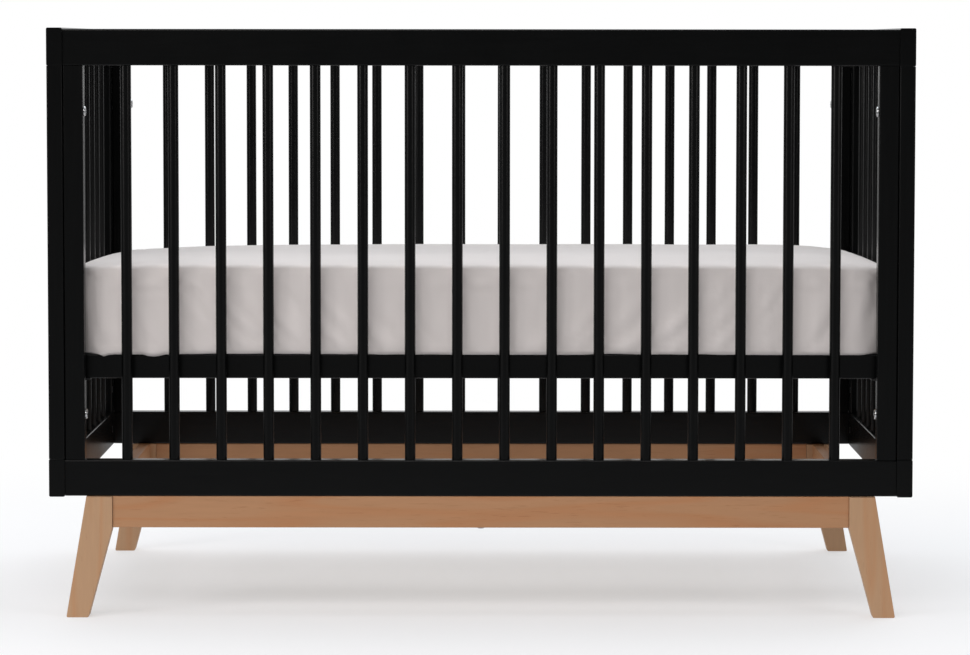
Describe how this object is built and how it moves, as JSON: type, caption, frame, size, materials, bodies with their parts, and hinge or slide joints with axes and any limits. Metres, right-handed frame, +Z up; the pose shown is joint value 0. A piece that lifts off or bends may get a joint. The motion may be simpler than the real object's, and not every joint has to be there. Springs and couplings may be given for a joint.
{
  "type": "baby crib",
  "caption": "Slatted baby crib with a black body on a splayed beech base, a mattress support with three heights, and a mattress.",
  "frame": {"origin": "on the floor, under the middle of the crib", "axes": "+Z up, +X along the crib's length to the right as seen from the front, the front faces -Y"},
  "size_m": [1.37, 0.76, 0.936],
  "materials": {
    "black_paint": "satin black paint on solid wood",
    "beech": "natural beech, clear matt lacquer",
    "ply_slat": "raw plywood",
    "zinc_bolt": "bright zinc",
    "steel_bracket": "black powder coat",
    "sheet": "cotton jersey fitted sheet"
  },
  "bodies": {
    "crib_frame": {"apron_front": "beech", "apron_left": "beech", "apron_rear": "beech", "apron_right": "beech", "base_bolt_front": "zinc_bolt", "base_bolt_rear": "zinc_bolt", "corner_bolt_front_left_lower": "zinc_bolt", "corner_bolt_front_left_upper": "zinc_bolt", "corner_bolt_front_right_lower": "zinc_bolt", "corner_bolt_front_right_upper": "zinc_bolt", "corner_bolt_rear_left_lower": "zinc_bolt", "corner_bolt_rear_left_upper": "zinc_bolt", "corner_bolt_rear_right_lower": "zinc_bolt", "corner_bolt_rear_right_upper": "zinc_bolt", "front_bottom_rail": "black_paint", "front_slat_01": "black_paint", "front_slat_02": "black_paint", "front_slat_03": "black_paint", "front_slat_04": "black_paint", "front_slat_05": "black_paint", "front_slat_06": "black_paint", "front_slat_07": "black_paint", "front_slat_08": "black_paint", "front_slat_09": "black_paint", "front_slat_10": "black_paint", "front_slat_11": "black_paint", "front_slat_12": "black_paint", "front_slat_13": "black_paint", "front_slat_14": "black_paint", "front_slat_15": "black_paint", "front_slat_16": "black_paint", "front_stile_left": "black_paint", "front_stile_right": "black_paint", "front_top_rail": "black_paint", "left_end_bottom_rail_with_slats": "black_paint", "left_end_post_front": "black_paint", "left_end_post_rear": "black_paint", "left_end_top_rail": "black_paint", "leg_front_left": "beech", "leg_front_right": "beech", "leg_rear_left": "beech", "leg_rear_right": "beech", "rear_bottom_rail_with_slats": "black_paint", "rear_stile_left": "black_paint", "rear_stile_right": "black_paint", "rear_top_rail": "black_paint", "right_end_bottom_rail_with_slats": "black_paint", "right_end_post_front": "black_paint", "right_end_post_rear": "black_paint", "right_end_top_rail": "black_paint"},
    "mattress_support": {"support_bracket_front_left": "steel_bracket", "support_bracket_front_right": "steel_bracket", "support_bracket_rear_left": "steel_bracket", "support_bracket_rear_right": "steel_bracket", "support_rail_front": "black_paint", "support_rail_left": "black_paint", "support_rail_rear": "black_paint", "support_rail_right": "black_paint", "support_slat_deck": "ply_slat"},
    "mattress": {"mattress": "sheet"}
  },
  "joints": [
    {"name": "support_height", "type": "slide", "parent": "crib_frame", "child": "mattress_support", "axis": [0, 0, 1], "range_m": [-0.143, 0]},
    {"name": "mattress_lift", "type": "slide", "parent": "mattress_support", "child": "mattress", "axis": [0, 0, 1], "range_m": [0, 0.53]}
  ]
}
